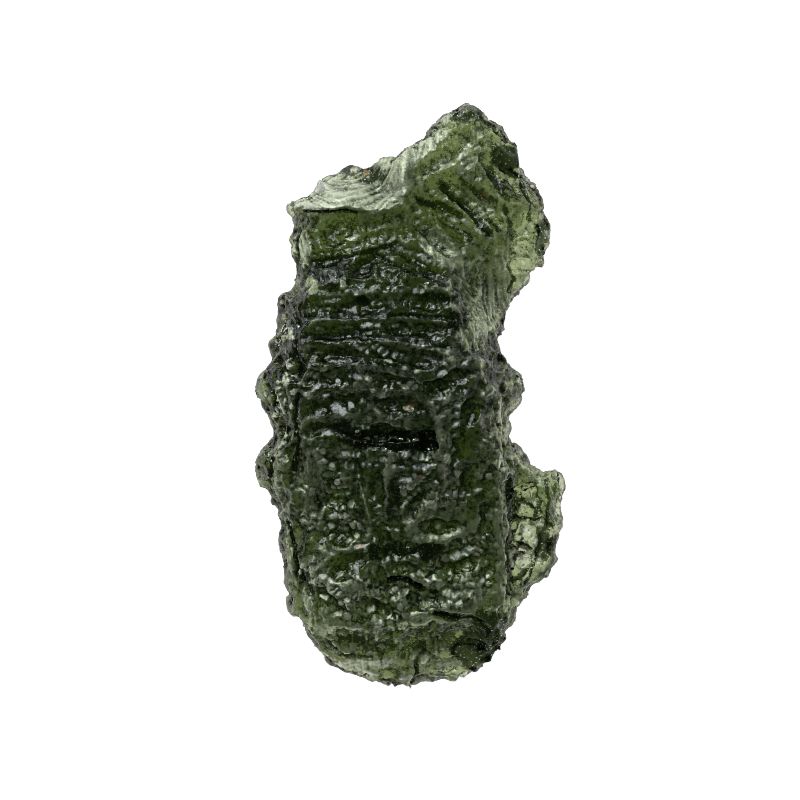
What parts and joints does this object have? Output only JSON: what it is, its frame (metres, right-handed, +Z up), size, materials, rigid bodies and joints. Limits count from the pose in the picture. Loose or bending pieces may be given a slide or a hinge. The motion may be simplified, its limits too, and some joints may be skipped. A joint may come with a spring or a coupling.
{
  "type": "moldavite",
  "caption": "Flattened lump of natural green glass with a ragged rim and a deeply etched face of flutes, pits and crests, lying on a small flat spot of its back.",
  "frame": {"origin": "on the resting plane, under the middle of the stone's box", "axes": "+Z up out of the sculpted face, +Y along the length towards the peaked end, +X towards the side with the bay and the wing"},
  "size_m": [0.017, 0.0322, 0.0086],
  "materials": {
    "etched_glass": "natural dark green glass, see-through where thin, etched, with satin crests and glossy hollows"
  },
  "bodies": {
    "root": {"moldavite": "etched_glass"}
  },
  "joints": []
}
